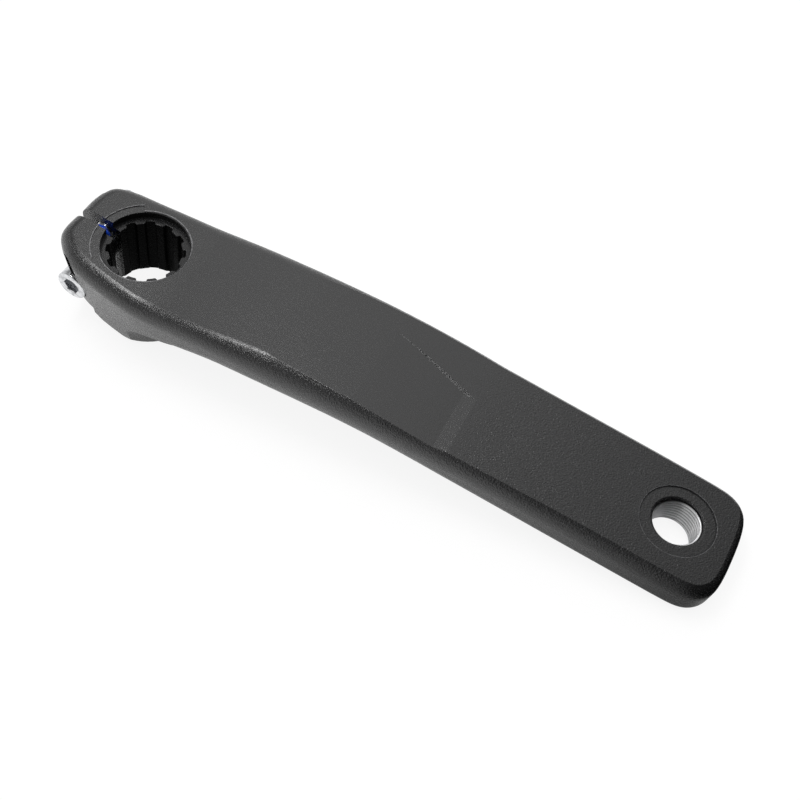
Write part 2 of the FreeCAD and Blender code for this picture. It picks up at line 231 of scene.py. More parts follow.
@dataclass(frozen=True)
class BlackAnodising:
    """Forged aluminium, blasted with fine beads and dyed black in the anodising bath.

    The blast leaves a matt, finely pitted skin. The oxide over it is a clear, hard
    layer, so light glances off it at a shallow angle although the dye is black.
    Lengths are in millimetres.
    """

    dye: str = "#19191a"
    painted_glint: str = "#3c3c3d"       # the highest specks, coloured lighter as painted glints
    bare: str = "#8d8d8f"
    # painted shade: the teeth in the bore are coloured near black for the shade inside it
    bore_painted_shade: str = "#0b0b0c"
    oxide_ior: float = 1.65     # aluminium oxide, filled and sealed
    shine: float = 0.5          # specular level of the open skin
    recess_shade_in_gloss: float = 0.24   # painted shade, taken off it in the counterbore and the spot face's corner
    bore_shade_in_gloss: float = 0.18     # and once more among the teeth, as painted shade
    edge_round: float = 0.22
    # The beads leave pits near 0.1 mm, drawn with their specks as coarse as they show.
    pits: Grain = Grain(0.50, roughness=0.6)
    pit_depth: float = 0.23
    specks: Grain = Grain(0.55, detail=1.0)
    blotches: Grain = Grain(14.0, detail=3.0)   # about a pass of the blast nozzle
    breaks: Grain = Grain(1.1)                  # gaps between the nicks of a worn edge
    # The skin gets coarser along the arm, from the head to the pedal end.
    tip: Step = Step(90.0, 135.0)
    glint_peaks: Step = Step(0.60, 0.76)
    glint_peaks_by_tip: Step = Step(0.0, 1.0, 0.08, 0.5)
    polish: Step = Step(0.3, 0.7, 0.31, 0.17)   # roughness by the specks
    blotch_haze: float = 0.06
    broken: Step = Step(0.3, 0.6, 0.35, 1.0)
    # The broad face, known by the upward part of its normal, has shallower pits.
    face: Step = Step(0.93, 0.985)
    face_pits: Step = Step(0.0, 1.0, 0.10, 0.65)
    spot_x: float = 175.0
    spot_corner: float = 10.58  # radius of the spot face's inner corner
    corner_width: float = 0.2
    recess_radius: float = 13.6
    recess_top: float = -0.5
    bore_radius: float = 12.4
    bore_top: float = -2.505    # just under the counterbore's floor
    tooth_edge: float = 0.36
    edges: tuple[EdgeLine, ...] = (
        EdgeLine(0.0, 13.86, 0.0, 0.26, 0.85),
        EdgeLine(0.0, 16.2, 0.0, 0.30, 0.9, until_x=-10.0),
        EdgeLine(175.0, 10.75, 8.55, 0.16, 0.5))
    full_wear: ClassVar[float] = 0.4    # share of an edge line's width that is worn most

    def worn_edges(self, tree: bpy.types.NodeTree, place: Value) -> Value:
        """Mask of the round edges with a thin coating.

        Args:
            tree: the material's tree.
            place: object coordinates in millimetres.

        Returns:
            A value that is up to 1 on the edges and 0 away from them.
        """
        total: Value = 0.0
        along = add_node(tree, "ShaderNodeSeparateXYZ", (place,)).outputs[0]
        for edge in self.edges:
            moved = add_node(tree, "ShaderNodeVectorMath",
                             (place, (edge.centre_x, 0.0, edge.height)), operation="SUBTRACT")
            axes = add_node(tree, "ShaderNodeSeparateXYZ", (moved,)).outputs
            across = add_node(tree, "ShaderNodeMath",
                              (distance(tree, axes[0], axes[1]), edge.radius),
                              operation="SUBTRACT")
            wear = Step(self.full_wear * edge.width, edge.width, edge.wear, 0.0)
            worn = add_node(tree, "ShaderNodeMapRange", wear.of(distance(tree, across, axes[2])),
                            **Step.SMOOTH)
            before_end = add_node(tree, "ShaderNodeMath", (along, edge.until_x),
                                  operation="LESS_THAN")
            mask = add_node(tree, "ShaderNodeMath", (worn, before_end), operation="MULTIPLY")
            total = add_node(tree, "ShaderNodeMath", (total, mask), operation="MAXIMUM")
        return total

    def below(self, tree: bpy.types.NodeTree, place: Value, radius: float,
              top: float) -> bpy.types.Node:
        """Mask of a round about the bore axis.

        Args:
            tree: the material's tree.
            place: object coordinates in millimetres.
            radius: radius of the round.
            top: its upper end.

        Returns:
            A node that gives 1 inside the round and under its top, and 0 elsewhere.
        """
        axes = add_node(tree, "ShaderNodeSeparateXYZ", (place,)).outputs
        inside = add_node(tree, "ShaderNodeMath", (distance(tree, axes[0], axes[1]), radius),
                          operation="LESS_THAN")
        under = add_node(tree, "ShaderNodeMath", (axes[2], top), operation="LESS_THAN")
        return add_node(tree, "ShaderNodeMath", (inside, under), operation="MULTIPLY")

    def colour(self, tree: bpy.types.NodeTree, place: Value, specks: Value, tip: Value,
               bore: Value) -> bpy.types.Node:
        """Colour of the skin: black dye, lighter specks partly painted as glints, worn edges,
        and painted shade among the teeth.

        Args:
            tree: the material's tree.
            place: object coordinates in millimetres.
            specks: the skin's specks.
            tip: share of the pedal end's coarser skin.
            bore: mask of the teeth, which get painted shade.

        Returns:
            The colour's node.
        """
        # the specks are coloured lighter: partly random grain, partly painted glints
        glint_peaks = add_node(tree, "ShaderNodeMapRange", self.glint_peaks.of(specks), **Step.SMOOTH)
        by_tip = add_node(tree, "ShaderNodeMapRange", self.glint_peaks_by_tip.of(tip), **Step.SMOOTH)
        grain_and_glints = add_node(tree, "ShaderNodeMath", (glint_peaks, by_tip), operation="MULTIPLY")
        tone = add_node(tree, "ShaderNodeMix", (grain_and_glints, linear(self.dye), linear(self.painted_glint)),
                        data_type="RGBA")
        breaks = add_node(tree, "ShaderNodeTexNoise", self.breaks.at(place))
        broken = add_node(tree, "ShaderNodeMapRange", self.broken.of(breaks), **Step.SMOOTH)
        worn = add_node(tree, "ShaderNodeMath", (self.worn_edges(tree, place), broken),
                        operation="MULTIPLY")
        tone = add_node(tree, "ShaderNodeMix", (worn, tone, linear(self.bare)),
                        data_type="RGBA")
        # painted shade: the teeth in the bore are coloured near black
        tone = add_node(tree, "ShaderNodeMix", (bore, tone, linear(self.bore_painted_shade)),
                        data_type="RGBA")
        height = add_node(tree, "ShaderNodeSeparateXYZ", (place,)).outputs[2]
        rim = add_node(tree, "ShaderNodeMapRange",
                       Step(self.bore_top - self.tooth_edge, self.bore_top).of(height),
                       **Step.SMOOTH)
        rim = add_node(tree, "ShaderNodeMath", (bore, rim), operation="MULTIPLY")
        rim = add_node(tree, "ShaderNodeMath", (rim, broken), operation="MULTIPLY")
        return add_node(tree, "ShaderNodeMix", (rim, tone, linear(self.bare)),
                        data_type="RGBA")

    def specular(self, tree: bpy.types.NodeTree, place: Value, bore: Value) -> bpy.types.Node:
        """Specular level, lowered as painted shade in the recesses, which mirror little of the
        room.

        Args:
            tree: the material's tree.
            place: object coordinates in millimetres.
            bore: mask of the teeth.

        Returns:
            The level's node.
        """
        axes = add_node(tree, "ShaderNodeSeparateXYZ", (place,)).outputs
        off_pedal = add_node(tree, "ShaderNodeMath", (axes[0], self.spot_x),
                             operation="SUBTRACT")
        corner = add_node(tree, "ShaderNodeMath",
                          (distance(tree, off_pedal, axes[1]), self.spot_corner,
                           self.corner_width), operation="COMPARE")
        recess = self.below(tree, place, self.recess_radius, self.recess_top)
        recess = add_node(tree, "ShaderNodeMath", (recess, corner), operation="MAXIMUM")
        # painted shade: the specular level drops in the recesses, the spot face's corner and
        # among the teeth
        shade_losses = [add_node(tree, "ShaderNodeMath", (mask, shade_loss), operation="MULTIPLY")
                  for mask, shade_loss in ((recess, self.recess_shade_in_gloss), (bore, self.bore_shade_in_gloss))]
        shade_loss = add_node(tree, "ShaderNodeMath", shade_losses, operation="ADD")
        return add_node(tree, "ShaderNodeMath", (self.shine, shade_loss), operation="SUBTRACT")

    def relief(self, tree: bpy.types.NodeTree, place: Value, tip: Value) -> bpy.types.Node:
        """Normal of the pitted skin, with its sharp edges taken off.

        Args:
            tree: the material's tree.
            place: object coordinates in millimetres.
            tip: share of the pedal end's coarser skin.

        Returns:
            The bump node.
        """
        pits = add_node(tree, "ShaderNodeTexNoise", self.pits.at(place))
        rounded = add_node(tree, "ShaderNodeBevel", (self.edge_round * MM,), samples=4)
        normal = add_node(tree, "ShaderNodeNewGeometry").outputs["Normal"]
        up = add_node(tree, "ShaderNodeSeparateXYZ", (normal,)).outputs[2]
        face = add_node(tree, "ShaderNodeMapRange", self.face.of(up), **Step.SMOOTH)
        smooth = add_node(tree, "ShaderNodeMapRange", self.face_pits.of(tip), **Step.SMOOTH)
        ground = add_node(tree, "ShaderNodeMath", (1.0, smooth), operation="SUBTRACT")
        ground = add_node(tree, "ShaderNodeMath", (face, ground), operation="MULTIPLY")
        share = add_node(tree, "ShaderNodeMath", (1.0, ground), operation="SUBTRACT")
        depth = add_node(tree, "ShaderNodeMath", (share, self.pit_depth * MM),
                         operation="MULTIPLY")
        return add_node(tree, "ShaderNodeBump", {"Strength": 1.0, "Distance": depth,
                                                 "Height": pits, "Normal": rounded})

    def material(self) -> bpy.types.Material:
        """Builds the finish.

        Returns:
            The material of the forging.
        """
        material, tree, output = new_material("bead-blasted black anodised aluminium")
        place = millimetres(tree)
        along = add_node(tree, "ShaderNodeSeparateXYZ", (place,)).outputs[0]
        tip = add_node(tree, "ShaderNodeMapRange", self.tip.of(along), **Step.SMOOTH)
        specks = add_node(tree, "ShaderNodeTexNoise", self.specks.at(place))
        blotches = add_node(tree, "ShaderNodeTexNoise", self.blotches.at(place))
        bore = self.below(tree, place, self.bore_radius, self.bore_top)
        polish = add_node(tree, "ShaderNodeMapRange", self.polish.of(specks), **Step.SMOOTH)
        haze = add_node(tree, "ShaderNodeMath", (blotches, self.blotch_haze),
                        operation="MULTIPLY")
        rough = add_node(tree, "ShaderNodeMath", (polish, haze), operation="ADD")
        skin = add_node(tree, "ShaderNodeBsdfPrincipled",
                        {"Base Color": self.colour(tree, place, specks, tip, bore),
                         "Roughness": rough, "IOR": self.oxide_ior,
                         "Specular IOR Level": self.specular(tree, place, bore),
                         "Normal": self.relief(tree, place, tip)})
        tree.links.new(skin.outputs[0], output.inputs["Surface"])
        return material


@dataclass(frozen=True)
class ZincPlate:
    """Turned steel bolt with a bright zinc plate.

    The plate follows the turning marks, which run round the axis, so the metal is
    bright and its highlights are drawn out along the bolt.
    """

    name: str = "bright zinc plated steel"
    plate: str = "#d3d4d6"
    dull: str = "#a9aaac"
    roughness: float = 0.10     # where the plate is clear
    haze: Grain = Grain(1.6, detail=3.0)        # stains of the rinse
    haze_rough: float = 0.12
    dulled: Step = Step(0.4, 0.7)
    marks: Grain = Grain(0.28)  # turning marks, drawn coarser than the real 0.1 mm
    mark_depth_mm: float = 0.004
    lock: Optional[str] = None  # colour of thread lock
    # painted glint: a lighter blue on the thread lock
    lock_painted_glint: str = "#8fa9ee"
    lock_rough: float = 0.15
    lock_edge: Grain = Grain(0.9)   # about the thread's pitch
    lock_run_mm: float = 2.0    # how far the lock's ends wander along the bolt
    lock_begins: Step = Step(-7.5, -7.0)    # along Y
    lock_ends: Step = Step(1.7, 2.2, 1.0, 0.0)
    lock_glint_grain: Grain = Grain(0.5)   # painted glints, lighter blue blotches about half a pitch apart
    lock_glint_step: Step = Step(0.68, 0.85)

    def material(self) -> bpy.types.Material:
        """Builds the finish.

        Returns:
            The material of a bolt, with thread lock on its thread if lock has a colour.
        """
        material, tree, output = new_material(self.name)
        place = millimetres(tree)
        along = add_node(tree, "ShaderNodeSeparateXYZ", (place,)).outputs[1]
        haze = add_node(tree, "ShaderNodeTexNoise", self.haze.at(place))
        dulled = add_node(tree, "ShaderNodeMapRange", self.dulled.of(haze), **Step.SMOOTH)
        tone = add_node(tree, "ShaderNodeMix", (dulled, linear(self.plate), linear(self.dull)),
                        data_type="RGBA")
        hazed = add_node(tree, "ShaderNodeMath", (haze, self.haze_rough), operation="MULTIPLY")
        rough = add_node(tree, "ShaderNodeMath", (self.roughness, hazed), operation="ADD")
        metal: Value = 1.0
        if self.lock is not None:
            coat = self._coat(tree, place, along)
            # painted glints: blotches of the lock are coloured lighter blue
            glinted_lock = add_node(tree, "ShaderNodeTexNoise", self.lock_glint_grain.at(place))
            glint_share = add_node(tree, "ShaderNodeMapRange", self.lock_glint_step.of(glinted_lock), **Step.SMOOTH)
            glinted_lock = add_node(tree, "ShaderNodeMix",
                            (glint_share, linear(self.lock), linear(self.lock_painted_glint)),
                            data_type="RGBA")
            tone = add_node(tree, "ShaderNodeMix", (coat, tone, glinted_lock), data_type="RGBA")
            metal = add_node(tree, "ShaderNodeMath", (1.0, coat), operation="SUBTRACT")
            coated = add_node(tree, "ShaderNodeMath", (coat, self.lock_rough),
                              operation="MULTIPLY")
            rough = add_node(tree, "ShaderNodeMath", (rough, coated), operation="ADD")
        turned = add_node(tree, "ShaderNodeCombineXYZ", (along,))
        marks = add_node(tree, "ShaderNodeTexNoise", self.marks.at(turned))
        bump = add_node(tree, "ShaderNodeBump", {"Strength": 1.0, "Height": marks,
                                                 "Distance": self.mark_depth_mm * MM})
        skin = add_node(tree, "ShaderNodeBsdfPrincipled",
                        {"Base Color": tone, "Metallic": metal, "Roughness": rough,
                         "Normal": bump})
        tree.links.new(skin.outputs[0], output.inputs["Surface"])
        return material

    def _coat(self, tree: bpy.types.NodeTree, place: Value, along: Value) -> bpy.types.Node:
        """Share of thread lock, which starts and ends along a ragged line.

        Args:
            tree: the material's tree.
            place: object coordinates in millimetres.
            along: the place along Y.

        Returns:
            A node that gives 1 under the lock and 0 on the bare plate.
        """
        edge = add_node(tree, "ShaderNodeTexNoise", self.lock_edge.at(place))
        run = add_node(tree, "ShaderNodeMath", (edge, self.lock_run_mm), operation="MULTIPLY")
        ragged = add_node(tree, "ShaderNodeMath", (along, run), operation="ADD")
        ends = [add_node(tree, "ShaderNodeMapRange", step.of(ragged), **Step.SMOOTH)
                for step in (self.lock_begins, self.lock_ends)]
        return add_node(tree, "ShaderNodeMath", ends, operation="MULTIPLY")


@dataclass(frozen=True)
class CutAluminium:
    """Bare aluminium of a thread that is cut after anodising.

    The tap leaves bright flanks, and the roots between them are coloured dark as painted shade.
    """

    metal: str = "#f0f0f1"
    # painted shade: the roots are coloured dark for the shade between the ridges
    root: str = "#1c1c1e"
    root_shade_by_radius: Step = Step(6.72, 7.02)      # from the bright flanks to the painted shade of the roots
    centre_x: float = 175.0
    roughness: float = 0.32

    def material(self) -> bpy.types.Material:
        """Builds the finish.

        Returns:
            The material of the cut thread.
        """
        material, tree, output = new_material("freshly cut aluminium")
        moved = add_node(tree, "ShaderNodeVectorMath",
                         (millimetres(tree), (self.centre_x, 0.0, 0.0)), operation="SUBTRACT")
        axes = add_node(tree, "ShaderNodeSeparateXYZ", (moved,)).outputs
        radius = distance(tree, axes[0], axes[1])
        root_shaded = add_node(tree, "ShaderNodeMapRange", self.root_shade_by_radius.of(radius), **Step.SMOOTH)
        tone = add_node(tree, "ShaderNodeMix", (root_shaded, linear(self.metal), linear(self.root)),
                        data_type="RGBA")
        skin = add_node(tree, "ShaderNodeBsdfPrincipled",
                        {"Base Color": tone, "Metallic": 1.0, "Roughness": self.roughness})
        tree.links.new(skin.outputs[0], output.inputs["Surface"])
        return material


# Turned shapes and threads

class Section(Enum):
    """Shape of one ring of a turned mesh."""

    ROUND = "round"
    HEXAGON = "hexagon"


class Hand(Enum):
    """Which way a thread winds."""

    RIGHT = 1.0
    LEFT = -1.0


@dataclass(frozen=True)
class Ring:
    """One ring of a turned mesh, in millimetres.

    Attributes:
        radius: its radius, or half the width across flats of a hexagon; 0 is a point.
        height: its place along the axis.
        section: round or hexagon.
        thread: how much of the thread it carries, from 0 to 1.
    """

    radius: float
    height: float
    section: Section = Section.ROUND
    thread: float = 0.0

    def reach(self, angle: float) -> float:
        """Distance from the axis at one angle.

        Args:
            angle: the angle about the axis, in radians.

        Returns:
            The distance in millimetres.
        """
        if self.section is Section.ROUND:
            return self.radius
        corner = math.pi / 3
        return self.radius / math.cos(angle % corner - corner / 2)


def turned_mesh(name: str, rings: Sequence[Ring], segments: int, closed: bool) -> bpy.types.Mesh:
    """Skins a row of rings about the Z axis.

    Args:
        name: the mesh's name.
        rings: the rings in order.
        segments: points on each ring.
        closed: whether the last ring joins the first, as on a sleeve.

    Returns:
        A closed mesh in metres with its thread share as a point attribute.
    """
    shape = bmesh.new()
    share = shape.verts.layers.float.new(THREAD_SHARE)
    rows: list[list[bmesh.types.BMVert]] = []
    for ring in rings:
        count = segments if ring.radius > 0 else 1
        row = []
        for k in range(count):
            angle = 2 * math.pi * k / segments
            reach = ring.reach(angle) * MM
            vert = shape.verts.new((reach * math.cos(angle), reach * math.sin(angle),
                                    ring.height * MM))
            vert[share] = ring.thread
            row.append(vert)
        rows.append(row)
    pairs = list(zip(rows, rows[1:] + (rows[:1] if closed else [])))
    for low, high in pairs:
        for k in range(segments):
            corners = [low[k % len(low)], low[(k + 1) % len(low)],
                       high[(k + 1) % len(high)], high[k % len(high)]]
            shape.faces.new(list(dict.fromkeys(corners)))
    bmesh.ops.recalc_face_normals(shape, faces=shape.faces)
    for face in shape.faces:
        face.smooth = True
    mesh = bpy.data.meshes.new(name)
    shape.to_mesh(mesh)
    shape.free()
    return mesh


class ThreadTree:
    """Geometry Nodes tree that winds a thread into a turned mesh about the Z axis."""

    NAME: ClassVar[str] = "cut thread"
    SIZES: ClassVar[tuple[str, ...]] = ("Pitch", "Depth", "Hand", "Crest", "Root")
    ON_AXIS: ClassVar[float] = 1e-6     # keeps the division safe at the axis

    def __init__(self) -> None:
        """Builds the tree."""
        self.tree = bpy.data.node_groups.new(self.NAME, "GeometryNodeTree")
        face = self.tree.interface
        face.new_socket("Geometry", in_out="INPUT", socket_type="NodeSocketGeometry")
        for name in self.SIZES:
            face.new_socket(name, in_out="INPUT", socket_type="NodeSocketFloat")
        face.new_socket("Finish", in_out="INPUT", socket_type="NodeSocketMaterial")
        face.new_socket("Geometry", in_out="OUTPUT", socket_type="NodeSocketGeometry")
        self._wire()

    def _wire(self) -> None:
        """Adds the nodes: each point moves towards the axis by the thread's section."""
        tree = self.tree
        given = tree.nodes.new("NodeGroupInput").outputs
        axes = add_node(tree, "ShaderNodeSeparateXYZ",
                        (add_node(tree, "GeometryNodeInputPosition"),)).outputs
        angle = add_node(tree, "ShaderNodeMath", (axes[1], axes[0]), operation="ARCTAN2")
        turns = add_node(tree, "ShaderNodeMath", (angle, 2 * math.pi), operation="DIVIDE")
        wound = add_node(tree, "ShaderNodeMath", (turns, given["Hand"]), operation="MULTIPLY")
        rise = add_node(tree, "ShaderNodeMath", (axes[2], given["Pitch"]), operation="DIVIDE")
        lead = add_node(tree, "ShaderNodeMath", (rise, wound), operation="SUBTRACT")
        folded = add_node(tree, "ShaderNodeMath", (lead, 0.5), operation="PINGPONG")
        wave = add_node(tree, "ShaderNodeMath", (folded, 2.0), operation="MULTIPLY")
        crest = add_node(tree, "ShaderNodeMath", (1.0, given["Crest"]), operation="SUBTRACT")
        section = add_node(tree, "ShaderNodeMapRange", (wave, given["Root"], crest))
        share = add_node(tree, "GeometryNodeInputNamedAttribute", {"Name": THREAD_SHARE},
                         data_type="FLOAT")
        cut = add_node(tree, "ShaderNodeMath", (section, share), operation="MULTIPLY")
        inward = add_node(tree, "ShaderNodeMath", (cut, given["Depth"]), operation="MULTIPLY")
        radius = distance(tree, axes[0], axes[1])
        radius = add_node(tree, "ShaderNodeMath", (radius, self.ON_AXIS), operation="MAXIMUM")
        lost = add_node(tree, "ShaderNodeMath", (inward, radius), operation="DIVIDE")
        left = add_node(tree, "ShaderNodeMath", (1.0, lost), operation="SUBTRACT")
        sides = [add_node(tree, "ShaderNodeMath", (axis, left), operation="MULTIPLY")
                 for axis in (axes[0], axes[1])]
        moved = add_node(tree, "ShaderNodeCombineXYZ", (*sides, axes[2]))
        shaped = add_node(tree, "GeometryNodeSetPosition",
                          {"Geometry": given["Geometry"], "Position": moved})
        whole = add_node(tree, "GeometryNodeRealizeInstances", {"Geometry": shaped})
        dressed = add_node(tree, "GeometryNodeSetMaterial",
                           {"Geometry": whole, "Material": given["Finish"]})
        add_node(tree, "NodeGroupOutput", {"Geometry": dressed})

    def cut(self, name: str, base: bpy.types.Mesh, sizes: Mapping[str, float],
            finish: bpy.types.Material) -> bpy.types.Mesh:
        """Runs the tree on a turned mesh and keeps the result as a plain mesh.

        Args:
            name: the new mesh's name.
            base: the turned mesh, with its thread share.
            sizes: the tree's sizes by name, lengths in metres.
            finish: the material that the mesh gets.

        Returns:
            The mesh with its thread.
        """
        holder = bpy.data.objects.new(name + ".blank", base)
        bpy.context.scene.collection.objects.link(holder)
        modifier = holder.modifiers.new("thread", "NODES")
        modifier.node_group = self.tree
        for item in self.tree.interface.items_tree:
            if item.in_out != "INPUT" or item.name == "Geometry":
                continue
            modifier[item.identifier] = finish if item.name == "Finish" else sizes[item.name]
        graph = bpy.context.evaluated_depsgraph_get()
        mesh = bpy.data.meshes.new_from_object(holder.evaluated_get(graph), depsgraph=graph)
        mesh.name = name
        bpy.data.objects.remove(holder)
        return mesh


def show(name: str, mesh: bpy.types.Mesh, crease_deg: float) -> bpy.types.Object:
    """Puts a finished mesh into the scene as a piece on the only body.

    Args:
        name: the piece's name.
        mesh: its mesh, in place.
        crease_deg: edges sharper than this stay crisp.

    Returns:
        The piece.
    """
    mesh.set_sharp_from_angle(angle=math.radians(crease_deg))
    piece = bpy.data.objects.new(name, mesh)
    bpy.context.scene.collection.objects.link(piece)
    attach(piece, BODY)
    log.info("%s: %d faces", name, len(mesh.polygons))
    return piece


# Pieces

@dataclass
class Forging:
    """The arm itself: its node stays and gets its finish."""

    node: str = "crank_arm"
    finish: BlackAnodising = BlackAnodising()

    def dress(self) -> bpy.types.Object:
        """Gives the arm its finish.

        Returns:
            The arm's own object.
        """
        arm = frame["nodes"][self.node]
        for held in arm.material_slots:
            held.material = self.finish.material()
        log.info("%s: %d faces", arm.name, len(arm.data.polygons))
        return arm


@dataclass
class PinchBolt:
    """M6 socket head bolt across the slot, all sizes in millimetres."""

    name: str
    node: str
    axis_z: float
    side: int                   # side of the slot that the head is on, along Y
    finish: ZincPlate
    axis_x: float = -17.0
    seat_y: float = 10.3
    radius: float = 3.0
    length: float = 20.0
    tip: float = 0.6            # chamfer at the end of the shank
    tip_flat: float = 0.15
    tip_rings: int = 5
    pitch: float = 1.0
    thread_depth: float = 0.58
    crest: float = 0.08         # flat parts of the thread's section, of half a pitch
    root: float = 0.14
    run_out: float = 1.2
    head_radius: float = 5.0
    head_height: float = 6.0
    head_foot: float = 0.15     # chamfer under the head
    head_edge: float = 0.5
    edge_degrees: tuple[int, ...] = (15, 35, 55, 75, 90)
    socket_across: float = 5.0
    socket_depth: float = 3.2
    socket_mouth: float = 0.05  # room around the hexagon's corners where it starts
    socket_lead: float = 0.25
    drill_share: float = 0.8    # drilled point under the socket, of its width
    drill_depth: float = 0.5
    segments: int = 72
    rows_per_turn: int = 12
    crease_deg: float = 24

    def _shank(self) -> list[Ring]:
        """Places the rings of the shank.

        Returns:
            The rings, from the shank's end up to the head.
        """
        end, low, high = -self.length, -self.length + self.tip, -self.run_out
        count = round((high - low) / self.pitch * self.rows_per_turn)
        rings = [Ring(0, end), Ring(self.radius - self.tip - self.tip_flat, end),
                 Ring(self.radius - self.tip, end)]
        for i in range(1, self.tip_rings):
            share = i / self.tip_rings
            rings.append(Ring(self.radius - self.tip * (1 - share), end + self.tip * share,
                              thread=share))
        for i in range(count + 1):
            height = low + (high - low) * i / count
            rings.append(Ring(self.radius, height,
                              thread=min(1.0, (high - height) / self.pitch)))
        return rings + [Ring(self.radius, 0.0)]

    def _head(self) -> list[Ring]:
        """Places the rings of the head and its hexagon socket.

        Returns:
            The rings, from under the head to the bottom of the socket.
        """
        top, edge = self.head_height, self.head_edge
        flat = self.socket_across / 2
        corner = flat / math.cos(math.pi / 6)
        bottom = top - self.socket_depth
        rings = [Ring(self.head_radius - self.head_foot, 0.0),
                 Ring(self.head_radius, self.head_foot), Ring(self.head_radius, top - edge)]
        for turn in map(math.radians, self.edge_degrees):
            rings.append(Ring(self.head_radius - edge + edge * math.cos(turn),
                              top - edge + edge * math.sin(turn)))
        return rings + [Ring(corner + self.socket_mouth, top),
                        Ring(flat, top - self.socket_lead, Section.HEXAGON),
                        Ring(flat, bottom, Section.HEXAGON),
                        Ring(flat * self.drill_share, bottom),
                        Ring(0, bottom - self.drill_depth)]

    def build(self, threads: ThreadTree) -> bpy.types.Object:
        """Builds the bolt in its place and lets it stand for its node.

        Args:
            threads: the tree that cuts the thread.

        Returns:
            The bolt.
        """
        blank = turned_mesh(self.name, self._shank() + self._head(), self.segments, closed=False)
        sizes = {"Pitch": self.pitch * MM, "Depth": self.thread_depth * MM,
                 "Hand": Hand.RIGHT.value, "Crest": self.crest, "Root": self.root}
        mesh = threads.cut(self.name, blank, sizes, self.finish.material())
        seat = Vector((self.axis_x, self.side * self.seat_y, self.axis_z)) * MM
        turn = Matrix.Rotation(math.radians(-90 * self.side), 4, "X")
        mesh.transform(Matrix.Translation(seat) @ turn)
        piece = show(self.name, mesh, self.crease_deg)
        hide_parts(self.node)
        return piece


@dataclass
class PedalThread:
    """Bright 9/16 in thread in the pedal hole, left-handed on a left arm, in millimetres."""

    name: str = "pedal_thread_cut"
    axis_x: float = 175.0
    low_z: float = -3.15
    high_z: float = 7.70
    major_radius: float = 7.12
    backing: float = 0.08       # wall of the sleeve behind the thread
    pitch: float = 1.27         # 20 per inch
    thread_depth: float = 0.66
    crest: float = 0.10
    root: float = 0.12
    lead_in: float = 0.6
    segments: int = 144
    rows_per_turn: int = 14
    crease_deg: float = 50
    finish: CutAluminium = CutAluminium()

    def build(self, threads: ThreadTree) -> bpy.types.Object:
        """Builds the thread as a thin sleeve whose ridges stand into the hole.

        Args:
            threads: the tree that winds the thread.

        Returns:
            The sleeve.
        """
        count = round((self.high_z - self.low_z) / self.pitch * self.rows_per_turn)
        outer = self.major_radius + self.backing
        rings = [Ring(outer, self.high_z), Ring(outer, self.low_z)]
        for i in range(count + 1):
            height = self.low_z + (self.high_z - self.low_z) * i / count
            near_end = min(height - self.low_z, self.high_z - height)
            rings.append(Ring(self.major_radius, height,
                              thread=min(1.0, near_end / self.lead_in)))
        blank = turned_mesh(self.name, rings, self.segments, closed=True)
        sizes = {"Pitch": self.pitch * MM, "Depth": self.thread_depth * MM,
                 "Hand": Hand.LEFT.value, "Crest": self.crest, "Root": self.root}
        mesh = threads.cut(self.name, blank, sizes, self.finish.material())
        mesh.transform(Matrix.Translation((self.axis_x * MM, 0, 0)))
        piece = show(self.name, mesh, self.crease_deg)
        return piece


# Studio

@dataclass(frozen=True)
class Viewpoint:
    """Camera of the photograph, in the part's frame and in millimetres."""

    place: tuple[float, float, float] = (150.08, -174.95, 270.60)
    right: tuple[float, float, float] = (0.85982, 0.49453, 0.12707)
    forward: tuple[float, float, float] = (-0.17920, 0.52530, -0.83183)
    lens: float = 51.23
    sensor: float = 36.0
    nearest: float = 10.0
    farthest: float = 20000.0

    def build(self) -> bpy.types.Object:
        """Adds the camera and makes it the scene's own.

        Returns:
            The camera.
        """
        data = bpy.data.cameras.new("camera")
        data.lens, data.sensor_width = self.lens, self.sensor
        data.clip_start, data.clip_end = self.nearest * MM, self.farthest * MM
        back = -Vector(self.forward).normalized()
        right = Vector(self.right)
        right = (right - right.dot(back) * back).normalized()
        up = back.cross(right)
        camera = bpy.data.objects.new("camera", data)
        bpy.context.scene.collection.objects.link(camera)
        turn = Matrix((right, up, back)).transposed().to_4x4()
        camera.matrix_world = Matrix.Translation(Vector(self.place) * MM) @ turn
        bpy.context.scene.camera = camera
        return camera


@dataclass(frozen=True)
class Softbox:
    """A softbox that points at the arm.

    Attributes:
        name: its name.
        direction: where it hangs, seen from the aim.
        distance: how far off, in metres.
        size: its width and its length, in metres.
        brightness: radiance of its face, where 1 is white.
        along: where its length runs.
        glare: whether it shows in glossy surfaces.
    """

    name: str
    direction: tuple[float, float, float]
    distance: float
    size: tuple[float, float]
    brightness: float
    along: tuple[float, float, float] = (0.0, 1.0, 0.0)
    glare: bool = True
    aim: ClassVar[Vector] = Vector((0.06, 0.0, 0.0))

    def build(self) -> bpy.types.Object:
        """Hangs the light.

        Returns:
            The light's object.
        """
        data = bpy.data.lights.new(self.name, "AREA")
        data.shape = "RECTANGLE"
        data.size, data.size_y = self.size
        data.energy = self.brightness * math.pi * self.size[0] * self.size[1]
        light = bpy.data.objects.new(self.name, data)
        bpy.context.scene.collection.objects.link(light)
        out = Vector(self.direction).normalized()
        light.location = self.aim + out * self.distance
        across = Vector(self.along).cross(out).normalized()
        turn = Matrix((across, out.cross(across), out)).transposed()
        light.rotation_euler = turn.to_euler()
        light.visible_glossy = self.glare
        return light


